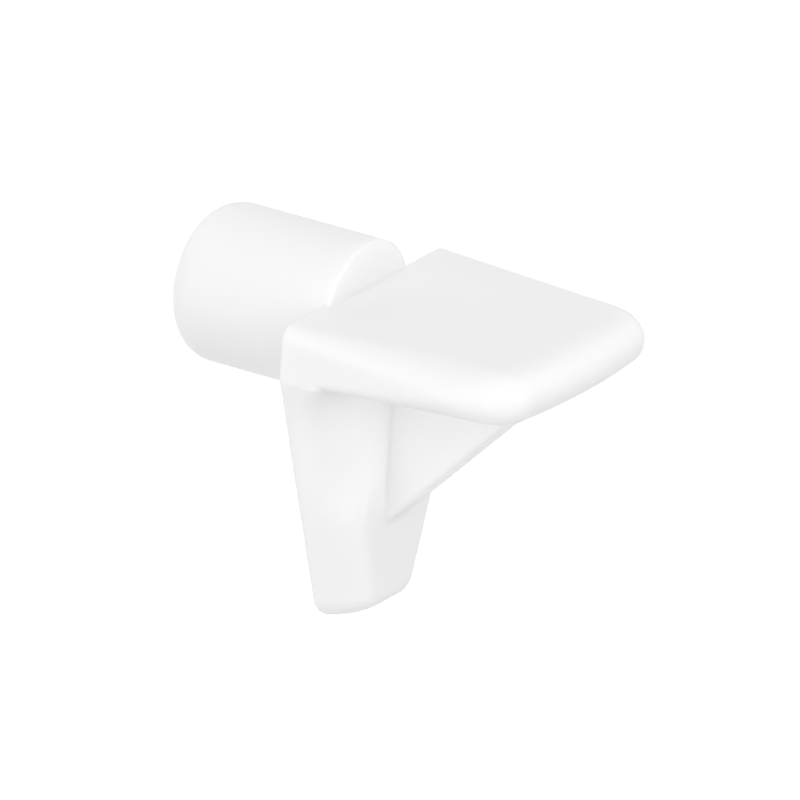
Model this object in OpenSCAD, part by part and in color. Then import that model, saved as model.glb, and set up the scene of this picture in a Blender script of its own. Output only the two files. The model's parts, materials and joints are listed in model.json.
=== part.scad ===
// Shelf support pin
//
// One moulded piece. The round peg pushes into a hole in the side of a cabinet,
// the shelf lies on the flat rest, and the leg bears on the cabinet wall below.
// A web under the rest braces it against the leg.
//
// Units are millimetres. The origin is on the peg's axis, in the plane of the
// cabinet wall. +X points away from the wall, +Y goes across, +Z is up.

/* [Peg] */
// Diameter of the peg, for a quarter inch hole
peg_d = 6.35; // [5.4:0.05:7.6]
// Length of the peg behind the wall face
peg_len = 7.25; // [5:0.05:12]
// Rounding of the peg's free end
peg_end_r = 1.4; // [0.4:0.1:2]
// How far the peg's flat face stands in front of the wall face, above the rest
peg_proud = 0.2; // [0.1:0.1:0.8]
// Draft of that short step, taken off the radius at the flat face
step_draft = 0.04; // [0.02:0.02:0.2]

/* [Rest] */
// Width of the rest
rest_w = 11.8; // [9.8:0.1:14.2]
// Length of the rest, from the wall face to the middle of the nose
rest_len = 10.4; // [8.7:0.1:13]
// Thickness of the rest
rest_t = 2.2; // [1.8:0.05:2.8]
// Height of the shelf's bearing face above the peg's axis
rest_top = 1.35; // [0.8:0.05:1.7]
// Rounding of the rest's long top edges where they meet the wall
rest_edge_r = 0.55; // [0.2:0.05:0.8]
// How far the nose bows forward between its corners
nose_bow = 0.25; // [0.1:0.05:0.6]
// Length of the bullnose, from its tip back to the flat faces
nose_len = 1.3; // [0.8:0.1:1.6]
// Length of the rounded front corners, along the rest
corner_len = 3; // [1.8:0.1:3.6]
// Width of the rounded front corners, across the rest
corner_w = 1.8; // [0.8:0.05:2.1]

/* [Leg] */
// Distance from the peg's axis down to the foot
leg_drop = 12; // [10:0.1:14.4]
// Thickness of the leg, out from the wall
leg_t = 2.2; // [1.8:0.1:2.8]
// Width of the leg at the foot
foot_w = 5.1; // [4.2:0.1:6.4]
// Rounding of the foot's two corners
foot_r = 1.65; // [1.5:0.05:2.1]
// Rounding of the leg's front edges at the foot
leg_edge_r = 1.45; // [0.5:0.05:1.5]
// Rounding of the same edges where they start, under the rest
leg_edge_top_r = 0.35; // [0.2:0.05:0.8]
// How far the foot's underside rises towards the front
foot_rise = 0.3; // [0:0.1:0.8]

/* [Web] */
// Thickness of the web
web_t = 2; // [1.2:0.1:3]
// Rounding of the two corners of its sloping edge
web_edge_r = 0.45; // [0.2:0.05:0.55]
// Distance from the tip of the nose back to the web's sloping edge
web_setback = 1.7; // [1.6:0.1:4]
// Where the web's sloping edge meets the leg, below the peg's axis
web_drop = 7.65; // [6:0.05:9]
// Fillet where the web runs into the leg and the rest
root_r = 0.25; // [0.15:0.05:0.6]

/* [Hidden] */

peg_r = peg_d / 2;
rest_under = rest_top - rest_t;
body_t = leg_t - leg_edge_r;
web_reach = rest_len - web_setback;
web_rise = web_drop + rest_under;
web_run = web_reach - leg_t;
web_slope = atan(web_rise / web_run);
nose_h = rest_t / 2;
nose_z = rest_top - nose_h;

// Centres of the front corners, and the arc that joins them across the nose
corner_x = rest_len - nose_bow - corner_len;
corner_y = rest_w / 2 - corner_w;
bow_r = (corner_y * corner_y + nose_bow * nose_bow) / (2 * nose_bow);
bow_a = asin(corner_y / bow_r);

// Height at which the leg's front edges have most of their rounding
leg_mid_z = rest_under - 2.6;
leg_mid_r = leg_edge_top_r + 0.7 * (leg_edge_r - leg_edge_top_r);

// How deep one form runs into the next, so that they join as one solid
bite = 0.6;
// Thickness of the slice that stands for a flat face in a blend
slice = 0.05;

// Ball with true poles and a true equator
module ball(r) {
    rotate_extrude($fn = 40)
        intersection() {
            circle(r = r, $fn = 40);
            translate([0, -r]) square([r, 2 * r]);
        }
}

// Half section of the peg, standing on the wall face: the short drafted step
// below, the plain bar above, and the rounding of the free end on top
module peg_section() {
    polygon([
        [0, -peg_proud],
        [peg_r - step_draft, -peg_proud],
        [peg_r, 0],
        [peg_r, peg_len - peg_end_r],
        [0, peg_len - peg_end_r]
    ]);
    translate([0, peg_len - 2 * peg_end_r])
        square([peg_r - peg_end_r, 2 * peg_end_r]);
    translate([peg_r - peg_end_r, peg_len - peg_end_r])
        circle(r = peg_end_r, $fn = 64);
}

// Peg: a plain round bar on the X axis, rounded at its free end
module peg() {
    rotate([0, -90, 0])
        rotate_extrude($fn = 96)
            intersection() {
                peg_section();
                translate([0, -peg_proud])
                    square([peg_r, peg_proud + peg_len]);
            }
}

// Outline of the rest where it meets the wall, square below and rounded on top
module rest_back() {
    translate([-rest_w / 2, rest_under])
        square([rest_w, rest_t - rest_edge_r]);
    for (side = [-1, 1])
        translate([side * (rest_w / 2 - rest_edge_r), rest_top - rest_edge_r])
            circle(r = rest_edge_r, $fn = 32);
}

// Bullnose along the front, bent to a shallow arc
module nose() {
    translate([rest_len - bow_r, 0, nose_z])
        rotate([0, 0, -bow_a])
            rotate_extrude(angle = 2 * bow_a, $fn = 240)
                translate([bow_r - nose_len, 0])
                    scale([nose_len, nose_h])
                        circle(r = 1, $fn = 40);
}

// Rest: its edges start nearly sharp at the wall and grow rounder all the way
// to the nose, where they run into the bullnose round big soft corners
module rest() {
    hull() {
        rotate([90, 0, 90])
            linear_extrude(height = slice)
                rest_back();
        for (side = [-1, 1])
            translate([corner_x, side * corner_y, nose_z])
                scale([corner_len, corner_w, nose_h])
                    ball(1);
        nose();
    }
}

// The leg's taper: how far its side edges lean, and its width at a height z
foot_y = foot_w / 2 - foot_r;
foot_z = foot_r - leg_drop;
leg_lean = atan((rest_w / 2 - foot_y) / (rest_under - foot_z))
    - asin(foot_r / norm([rest_w / 2 - foot_y, rest_under - foot_z]));
function leg_w(z) = rest_w - 2 * (rest_under - z) * tan(leg_lean);

// Section across the leg, flat at the wall and with its two front edges
// rounded over
module leg_section(w, r) {
    intersection() {
        translate([0, -w / 2])
            square([leg_t, w]);
        union() {
            translate([0, -w / 2])
                square([leg_t - r, w]);
            translate([0, r - w / 2])
                square([leg_t, w - 2 * r]);
            for (side = [-1, 1])
                translate([leg_t - r, side * (w / 2 - r)])
                    circle(r = r, $fn = 48);
        }
    }
}

// Front corner of the foot: a quarter ring that rounds the foot's corner and
// the front edge together
module foot_corner() {
    rotate([0, 90, 0])
        rotate_extrude($fn = 48)
            intersection() {
                translate([foot_r - leg_edge_r, 0])
                    circle(r = leg_edge_r, $fn = 48);
                square([foot_r, leg_edge_r]);
            }
}

// Slice across the leg at a height z, where its front edges have the rounding r
module leg_slice(z, r) {
    translate([0, 0, z])
        linear_extrude(height = slice)
            leg_section(leg_w(z), r);
}

// Leg: as wide as the rest at the top, tapering to a rounded foot. Its back is
// flat on the wall and its underside rises a little towards the front. Its front
// edges grow rounder quickly at first, then slowly down to the foot
module leg() {
    translate([0, 0, rest_under])
        linear_extrude(height = bite)
            leg_section(rest_w, leg_edge_top_r);
    hull() {
        leg_slice(rest_under, leg_edge_top_r);
        leg_slice(leg_mid_z, leg_mid_r);
    }
    hull() {
        leg_slice(leg_mid_z, leg_mid_r);
        for (side = [-1, 1]) {
            translate([0, side * foot_y, foot_z])
                rotate([0, 90, 0])
                    cylinder(r = foot_r, h = slice, $fn = 48);
            translate([body_t, side * foot_y, foot_z + foot_rise])
                foot_corner();
        }
    }
}

// Side outline of the corner that the web fills, up to a line that lies the
// distance inset behind its sloping edge
module web_side(inset) {
    back = inset / sin(web_slope);
    drop = inset / cos(web_slope);
    polygon([
        [leg_t - bite, rest_under + bite],
        [web_reach - back, rest_under + bite],
        [web_reach - back, rest_under],
        [leg_t, drop - web_drop],
        [leg_t - bite, drop - web_drop]
    ]);
}

// Section of the web across its sloping edge, which is the line at Y = 0, with
// the edge's two corners rounded over
module web_section() {
    deep = web_run + web_rise;
    translate([-web_t / 2, -deep])
        square([web_t, deep - web_edge_r]);
    translate([web_edge_r - web_t / 2, -deep])
        square([web_t - 2 * web_edge_r, deep]);
    for (side = [-1, 1])
        translate([side * (web_t / 2 - web_edge_r), -web_edge_r])
            circle(r = web_edge_r, $fn = 32);
}

// Section of the two fillets at the web's root: the face that it stands on is
// the X axis and the web rises along +Y
module web_root() {
    difference() {
        translate([-web_t / 2 - root_r, -bite])
            square([web_t + 2 * root_r, bite + root_r]);
        for (side = [-1, 1])
            translate([side * (web_t / 2 + root_r), root_r])
                circle(r = root_r, $fn = 48);
    }
}

// Web: the plate between rest and leg, filleted into both, with its sloping
// edge rounded over
module web() {
    long = web_run + web_rise;
    intersection() {
        rotate([90, 0, 0])
            linear_extrude(height = rest_w, center = true)
                web_side(0);
        translate([leg_t, 0, -web_drop])
            rotate([0, 90 - web_slope, 0])
                rotate([0, 0, -90])
                    linear_extrude(height = 2 * long, center = true)
                        web_section();
    }
    intersection() {
        rotate([90, 0, 0])
            linear_extrude(height = rest_w, center = true)
                web_side(web_edge_r);
        union() {
            // fillets along the leg
            translate([leg_t, 0, -web_drop])
                rotate([0, 0, -90])
                    linear_extrude(height = web_rise + bite)
                        web_root();
            // fillets along the rest
            translate([leg_t - bite, 0, rest_under])
                rotate([0, 90, 0])
                    rotate([0, 0, -90])
                        linear_extrude(height = web_run + bite)
                            web_root();
        }
    }
}

// The whole pin, one solid
module shelf_pin() {
    color("whitesmoke")
        union() {
            peg();
            rest();
            leg();
            web();
        }
}

shelf_pin();
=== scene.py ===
import json
import math

import bmesh
import bpy
import numpy as np
from mathutils import Matrix, Vector


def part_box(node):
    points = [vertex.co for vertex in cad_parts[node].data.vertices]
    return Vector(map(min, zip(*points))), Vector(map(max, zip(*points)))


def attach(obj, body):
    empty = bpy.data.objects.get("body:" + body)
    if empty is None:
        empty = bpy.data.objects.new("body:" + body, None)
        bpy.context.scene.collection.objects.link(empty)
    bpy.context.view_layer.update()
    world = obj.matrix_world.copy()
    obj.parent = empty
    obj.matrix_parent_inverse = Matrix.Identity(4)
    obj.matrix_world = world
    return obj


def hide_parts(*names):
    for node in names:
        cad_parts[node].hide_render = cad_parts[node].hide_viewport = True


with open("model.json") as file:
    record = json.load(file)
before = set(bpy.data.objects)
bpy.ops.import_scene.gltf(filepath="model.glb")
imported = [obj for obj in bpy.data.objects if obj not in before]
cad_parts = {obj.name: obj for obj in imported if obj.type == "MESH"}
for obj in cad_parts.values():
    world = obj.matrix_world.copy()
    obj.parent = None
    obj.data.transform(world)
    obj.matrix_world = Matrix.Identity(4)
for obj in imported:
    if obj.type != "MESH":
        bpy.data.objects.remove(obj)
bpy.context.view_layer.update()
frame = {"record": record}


# ---------------------------------------------------------------------------
# The pin. One white moulding: peg, rest, leg and web are shot together in a
# two-part mould, so every corner is eased and every joint has its fillet.
# The round peg pushes into the cabinet's hole and the shelf lies on the rest.
# Sizes here are in millimetres, and each form gives the distance outside it.
# ---------------------------------------------------------------------------

MM = 0.001
mounts = {m["name"]: m for m in frame["record"]["mounts"]}
low, high = (np.array(corner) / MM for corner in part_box("shelf_pin"))
edge_soft = 0.12    # rounding of an edge that is meant to be sharp


def rounded(a, b, r):
    """The solid inside both faces a and b, with the edge between them rounded."""
    corner = np.hypot(np.maximum(r + a, 0), np.maximum(r + b, 0))
    return np.minimum(-r, np.maximum(a, b)) + corner


def eased(a, depth_a, b, depth_b):
    """The same with an edge that runs deeper into one face than into the other."""
    tiny = 1e-6
    u = np.maximum(a / depth_a + 1, tiny)
    v = np.maximum(b / depth_b + 1, tiny)
    reach = np.hypot(u, v)
    ellipse = (reach - 1) * reach / np.hypot(u / depth_a, v / depth_b)
    return np.maximum(np.maximum(a, b), ellipse)


def joined(a, b, r):
    """Two forms that run together through a hollow fillet."""
    hollow = np.hypot(np.maximum(r - a, 0), np.maximum(r - b, 0))
    return np.maximum(r, np.minimum(a, b)) - hollow


def smooth(t):
    """Goes from 0 to 1 with level ends."""
    t = np.clip(t, 0, 1)
    return t * t * (3 - 2 * t)


# Peg: a plain bar on the X axis. Its flat face stands just proud of the wall.
peg_r = mounts["peg"]["dims"]["r_mm"]
peg_len = -low[0]
peg_end_r = peg_len - mounts["peg"]["dims"]["length_mm"]
peg_proud = 0.2


def peg(x, y, z):
    bar = rounded(np.hypot(y, z) - peg_r, -peg_len - x, peg_end_r)
    return rounded(bar, x - peg_proud, edge_soft)


# Rest: its edges leave the wall nearly sharp and grow rounder all the way to
# the bullnose, so the front corners come out big and soft. Its top has sunk a
# little over the web's root.
rest_len, half_w = high[0], high[1]
rest_top = mounts["shelf_rest"]["pos_m"][2] / MM
rest_t = 2.2
rest_under = rest_top - rest_t
edge_at_wall = 0.55
nose_bow, nose_len = 0.25, 1.3
corner_len, corner_w = 3.0, 1.8
dish_x, dish_long, dish_wide, dish_deep = 4.3, 5.1, 4.95, 0.1


def rest_plan(x, y):
    """The outline of the rest, seen from above."""
    bow = nose_bow * (y / (half_w - corner_w)) ** 2
    return eased(np.abs(y) - half_w, corner_w, x - rest_len + bow, corner_len)


def rest(x, y, z):
    outline = rest_plan(x, y)
    grown = np.clip(x / (rest_len - nose_bow - corner_len), 0, 1)
    front = smooth((x - rest_len + corner_len) / (corner_len - nose_len / 2))
    at_nose = corner_w * grown + (nose_len - corner_w) * front
    dish = dish_deep * smooth(1 - np.hypot((x - dish_x) / dish_long, y / dish_wide))
    top_in = edge_at_wall * (1 - grown) + at_nose
    top_down = edge_at_wall + (rest_t / 2 - edge_at_wall) * grown
    under_in = edge_soft * (1 - grown) + at_nose
    under_up = edge_soft + (rest_t / 2 - edge_soft) * grown
    top = eased(outline, top_in, z - rest_top + dish, top_down)
    under = eased(outline, under_in, rest_under - z, under_up)
    return np.maximum(top, under)


# Leg: flat at the wall, as wide as the rest at the top, tapering to a foot.
# Its front is chamfered on both sides. Beside the web the chamfers leave a
# middle of constant width, and below it they are a narrow cut along each edge.
leg_drop = -low[2]
leg_t = 2.2
foot_half, foot_r = 2.55, 1.65
front_half = 1.9                # half the flat front beside the web
cut_below = 0.95                # width of each chamfer below the web
turn_z, turn_long = -4.75, 2.8  # where the one starts to turn into the other
side_low = 0.5                  # depth of the side faces, from the wall, at the foot
side_high, high_fade = 1.35, 8  # how much deeper they are under the rest
side_belly = 0.5                # and half-way down
side_round, front_round = 0.5, 0.35
web_drop = 7.65
bite = 0.6                      # how far one form runs into the next


def leg(x, y, z):
    across = np.abs(y) - (foot_half - foot_r)
    along = z - (foot_r - leg_drop)
    top_y, top_z = half_w - (foot_half - foot_r), rest_under - (foot_r - leg_drop)
    lean = math.atan2(top_y, top_z) - math.asin(foot_r / math.hypot(top_y, top_z))
    side = across * math.cos(lean) - along * math.sin(lean) - foot_r
    beside = across * math.sin(lean) + along * math.cos(lean) > 0
    foot = np.where(across < 0, -along, np.hypot(across, along)) - foot_r
    outline = np.maximum(np.where(beside, side, foot), np.abs(y) - half_w)

    fallen = np.clip((rest_under - z) / top_z, 0, 1)
    side_t = side_low + side_high * (1 - fallen) ** high_fade + side_belly * (1 - fallen) * fallen
    half = half_w - (rest_under - z) * math.tan(lean)
    turned = smooth((turn_z - z) / turn_long)
    cut = np.maximum(cut_below + (half - front_half - cut_below) * (1 - turned), cut_below)
    chamfer = ((x - side_t) * cut + outline * (leg_t - side_t)) / np.hypot(cut, leg_t - side_t)
    body = rounded(rounded(outline, chamfer, side_round), x - leg_t, front_round)
    return np.maximum(body, z - rest_under - bite)


# Web: the plate in the corner, drafted thinner to its free edge, which is
# rounded over.
web_edge_t, web_draft, web_edge_r = 1.96, 0.02, 0.3
web_setback = 1.7
root_r, least_r = 0.14, 0.01    # fillet at the web's root, and its smallest at the rest's outline


def web(x, y, z):
    run, rise = rest_len - web_setback - leg_t, web_drop + rest_under
    slope = ((x - leg_t) * rise - (z + web_drop) * run) / math.hypot(run, rise)
    side = np.abs(y) - web_edge_t / 2 + web_draft * np.minimum(slope, 0)
    plate = rounded(side, slope, web_edge_r)
    return np.maximum(plate, np.maximum(leg_t - bite - x, z - rest_under - bite))


def pin(x, y, z):
    """The finished moulding."""
    fillet = np.clip(-rest_plan(x, y), least_r, root_r)
    body = joined(leg(x, y, z), rest(x, y, z), fillet)
    body = joined(body, web(x, y, z), root_r)
    body = rounded(body, -x, edge_soft)
    return joined(body, peg(x, y, z), edge_soft)


def skin(name, form, low, high, cell):
    """Lays a smooth closed mesh, of facets about one cell wide, where form is zero."""
    axes = [np.arange(a - 1.5 * cell, b + 2 * cell, cell) for a, b in zip(low, high)]
    solid = form(*np.meshgrid(*axes, indexing="ij", sparse=True)) < 0

    # One point in each cell that the surface passes through
    count = np.array(solid.shape) - 1
    inside = np.zeros(count, np.int8)
    for i, j, k in np.ndindex(2, 2, 2):
        inside += solid[i:i + count[0], j:j + count[1], k:k + count[2]]
    cells = np.argwhere((inside > 0) & (inside < 8))
    number = np.full(count, -1)
    number[tuple(cells.T)] = np.arange(len(cells))
    points = (cells + 0.5) * cell + [a[0] for a in axes]

    # The points are drawn onto the surface, along the way it falls off
    step, rounds, flattest = 0.02, 6, 1e-3
    for _ in range(rounds):
        rise = [form(*(points + step * e).T) - form(*(points - step * e).T) for e in np.eye(3)]
        rise = np.stack(rise, 1) / (2 * step)
        steepness = np.maximum((rise ** 2).sum(1), flattest)
        points -= (form(*points.T) / steepness)[:, None] * rise
    points = np.clip(points, low, high)

    # A facet across each grid edge that leads out of the solid or into it
    quads = []
    for axis in range(3):
        before = np.moveaxis(solid, axis, 0)
        grid = np.moveaxis(number, axis, 0)
        for outward in (True, False):
            crossed = (before[:-1] & ~before[1:]) if outward else (~before[:-1] & before[1:])
            i, j, k = np.nonzero(crossed[:, 1:-1, 1:-1])
            ring = [grid[i, j, k], grid[i, j + 1, k], grid[i, j + 1, k + 1], grid[i, j, k + 1]]
            if outward == (axis == 1):
                ring.reverse()
            quads.append(np.stack(ring, 1))
    mesh = bpy.data.meshes.new(name)
    mesh.from_pydata((points * MM).tolist(), [], np.concatenate(quads).tolist())

    # Points that ended up side by side are welded, so that no sliver is left
    sliver = 0.2 * cell * MM
    work = bmesh.new()
    work.from_mesh(mesh)
    bmesh.ops.remove_doubles(work, verts=work.verts, dist=sliver)
    bmesh.ops.dissolve_degenerate(work, edges=work.edges, dist=sliver / 2)
    work.to_mesh(mesh)
    work.free()
    mesh.shade_smooth()
    made = bpy.data.objects.new(name, mesh)
    bpy.context.scene.collection.objects.link(made)
    return made


fine_cell, quick_cell = 0.09, 0.16
pin_body = skin("pin_moulding", pin, low, high, fine_cell)


class Shade:
    """A socket of a material that is written like a number; make() adds any node."""

    def __init__(self, tree, socket=None):
        self.tree = tree
        self.socket = socket

    def make(self, kind, settings, values, output=0):
        node = self.tree.nodes.new(kind)
        for setting, value in settings.items():
            setattr(node, setting, value)
        for name, value in values.items():
            if isinstance(value, Shade):
                self.tree.links.new(value.socket, node.inputs[name])
            else:
                node.inputs[name].default_value = value
        return Shade(self.tree, node.outputs[output])

    def maths(self, operation, a, b):
        return self.make("ShaderNodeMath", {"operation": operation}, {0: a, 1: b})

    def __add__(self, other):
        return self.maths("ADD", self, other)

    def __sub__(self, other):
        return self.maths("SUBTRACT", self, other)

    def __rsub__(self, other):
        return self.maths("SUBTRACT", other, self)

    def __mul__(self, other):
        return self.maths("MULTIPLY", self, other)

    __radd__ = __add__
    __rmul__ = __mul__

    def clamped(self):
        return self.maths("MINIMUM", self.maths("MAXIMUM", self, 0), 1)

    def noise(self, place, size, detail=2.0):
        """Cloudy noise from 0 to 1, whose clouds are about size millimetres across."""
        values = {"Vector": place, "Scale": 1 / (size * MM), "Detail": detail}
        return self.make("ShaderNodeTexNoise", {}, values)

    def between(self, mask, first, second):
        """A colour that goes from first to second as mask goes from 0 to 1."""
        first, second = (c if isinstance(c, Shade) else (*c, 1) for c in (first, second))
        values = {0: mask, 6: first, 7: second}
        return self.make("ShaderNodeMix", {"data_type": "RGBA"}, values, output=2)

    def into(self, shader, name):
        self.tree.links.new(self.socket, shader.inputs[name])


# Undyed white polymer, a little milky: light goes in some way before it comes
# back. The polish of the mould leaves it half glossy, with the faint flow
# clouds and orange peel that a gated moulding has.
plastic = bpy.data.materials.new("white_plastic")
plastic.use_nodes = True
shader = plastic.node_tree.nodes["Principled BSDF"]
shader.inputs["Subsurface Weight"].default_value = 0.7
shader.inputs["Subsurface Scale"].default_value = 0.4 * MM
shader.inputs["Subsurface Radius"].default_value = (1, 1, 1)
shader.inputs["IOR"].default_value = 1.5
shader.inputs["Specular IOR Level"].default_value = 0.15
mix = Shade(plastic.node_tree)
place = mix.make("ShaderNodeTexCoord", {}, {}, output="Object")
drawn_out = {"Vector": place, "Scale": (2.2, 1, 1)}
along_flow = mix.make("ShaderNodeMapping", {"vector_type": "TEXTURE"}, drawn_out)
flow = mix.noise(along_flow, 2.6, detail=3.0)
cloud = mix.noise(place, 5.0)
grain = mix.noise(place, 0.22, detail=3.0)
peel = mix.noise(place, 0.75)
tone = flow * 0.65 + cloud * 0.35
mix.between(tone, (0.908, 0.914, 0.909), (0.93, 0.932, 0.933)).into(shader, "Base Color")
(0.25 + flow * 0.1).into(shader, "Roughness")
height = peel * 0.7 + grain * 0.3
relief = {"Strength": 0.35, "Distance": 0.02 * MM, "Height": height}
mix.make("ShaderNodeBump", {}, relief).into(shader, "Normal")
pin_body.data.materials.append(plastic)
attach(pin_body, "root")
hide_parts("shelf_pin")


# ---------------------------------------------------------------------------
# Floor: a broad sheet of pale card, well below the pin. It is white to the
# eye, where it still takes the pin's shadow. It isn't there from beneath, and
# the light that it throws back up is the lower half of the room's.
# ---------------------------------------------------------------------------

reach, drop = 2, 0.06
corners = [(-reach, -reach, 0), (reach, -reach, 0), (reach, reach, 0), (-reach, reach, 0)]
floor_mesh = bpy.data.meshes.new("floor")
floor_mesh.from_pydata(corners, [], [(0, 1, 2, 3)])
floor = bpy.data.objects.new("floor", floor_mesh)
floor.location.z = -drop
bpy.context.scene.collection.objects.link(floor)
card = bpy.data.materials.new("white_card")
card.use_nodes = True
card_shader = card.node_tree.nodes["Principled BSDF"]
card_shader.inputs["Base Color"].default_value = (0.8, 0.8, 0.8, 1)
card_shader.inputs["Roughness"].default_value = 1
card_shader.inputs["Specular IOR Level"].default_value = 0
card_shader.inputs["Emission Strength"].default_value = 1
mix = Shade(card.node_tree)


def seen(mix):
    """1 for the rays that show a backdrop to the eye, directly or in a gloss."""
    rays = [mix.make("ShaderNodeLightPath", {}, {}, output="Is %s Ray" % name)
            for name in ("Camera", "Glossy", "Transmission")]
    return mix.maths("MINIMUM", rays[0] + rays[1] + rays[2], 1)


fibre = mix.noise(mix.make("ShaderNodeTexCoord", {}, {}, output="Object"), 1.5)
mix.between(fibre, (0.42, 0.42, 0.42), (0.44, 0.44, 0.44)).into(card_shader, "Emission Color")
beneath = mix.make("ShaderNodeNewGeometry", {}, {}, output="Backfacing")
hidden = mix.maths("MAXIMUM", beneath, 1 - seen(mix))
clear = mix.make("ShaderNodeBsdfTransparent", {}, {})
solid_card = Shade(card.node_tree, card_shader.outputs[0])
both = mix.make("ShaderNodeMixShader", {}, {0: hidden, 1: solid_card, 2: clear})
both.into(card.node_tree.nodes["Material Output"], "Surface")
floor_mesh.materials.append(card)


# ---------------------------------------------------------------------------
# Lamps: a pale room that shows white to the eye. Its lower half throws back
# the floor's light, most of it from the wall's side. Broad soft lamps stand in
# front and to the right, with weaker ones behind.
# ---------------------------------------------------------------------------

world = bpy.data.worlds.new("studio")
world.use_nodes = True
room = world.node_tree.nodes["Background"]
mix = Shade(world.node_tree)
direction = mix.make("ShaderNodeTexCoord", {}, {}, output="Generated")
nose_side = mix.make("ShaderNodeSeparateXYZ", {}, {0: direction}, output="X") + 0.5
upward = mix.make("ShaderNodeSeparateXYZ", {}, {0: direction}, output="Z") * 4 + 0.5
bounce = mix.between(nose_side.clamped(), (0.72, 0.73, 0.718), (0.19, 0.2, 0.19))
walls = mix.between(upward.clamped(), bounce, (0.475, 0.475, 0.47))
mix.between(seen(mix), walls, (1, 1, 1)).into(room, "Color")
bpy.context.scene.world = world


def towards(azimuth, elevation):
    azimuth, elevation = math.radians(azimuth), math.radians(elevation)
    flat = math.cos(elevation)
    return Vector((math.sin(azimuth) * flat, -math.cos(azimuth) * flat, math.sin(elevation)))


def lamp(name, azimuth, elevation, power, size=0.65, away=0.6):
    """A soft disc that faces the pin. Azimuth turns from -Y towards the nose."""
    data = bpy.data.lights.new(name, "AREA")
    data.shape = "DISK"
    data.size = size
    data.energy = power
    made = bpy.data.objects.new(name, data)
    made.location = away * towards(azimuth, elevation)
    made.rotation_euler = (-made.location).to_track_quat("-Z", "Y").to_euler()
    bpy.context.scene.collection.objects.link(made)


lamp("front_left", -22, -12, 1.05)
lamp("front_right", 42, 14, 1.35)
lamp("right", 90, -10, 1.4)
lamp("back_right", 150, 35, 0.35)
lamp("back_left", -110, 30, 0.66)
lamp("top", 20, 80, 1.05)


# ---------------------------------------------------------------------------
# Camera: a long lens, so the pin is seen almost without perspective.
# ---------------------------------------------------------------------------

azimuth, elevation, roll = 30.63, 21.28, math.radians(3.655)
distance = 0.6424
aside, downward = 0.001478, 0.003151    # how far the pin's origin is off the middle of the view
back = towards(azimuth, elevation)
level = Vector((math.cos(math.radians(azimuth)), math.sin(math.radians(azimuth)), 0))
rise = back.cross(level)
across = math.cos(roll) * level + math.sin(roll) * rise
upward = math.cos(roll) * rise - math.sin(roll) * level
place = aside * across - downward * upward + distance * back
camera = bpy.data.objects.new("camera", bpy.data.cameras.new("camera"))
camera.data.sensor_width = 36
camera.data.lens = 750.7
camera.data.clip_start, camera.data.clip_end = 0.01, 10
camera.matrix_world = Matrix((
    (across.x, upward.x, back.x, place.x),
    (across.y, upward.y, back.y, place.y),
    (across.z, upward.z, back.z, place.z),
    (0, 0, 0, 1)))
bpy.context.scene.collection.objects.link(camera)
bpy.context.scene.camera = camera
bpy.context.scene.view_settings.view_transform = "Standard"
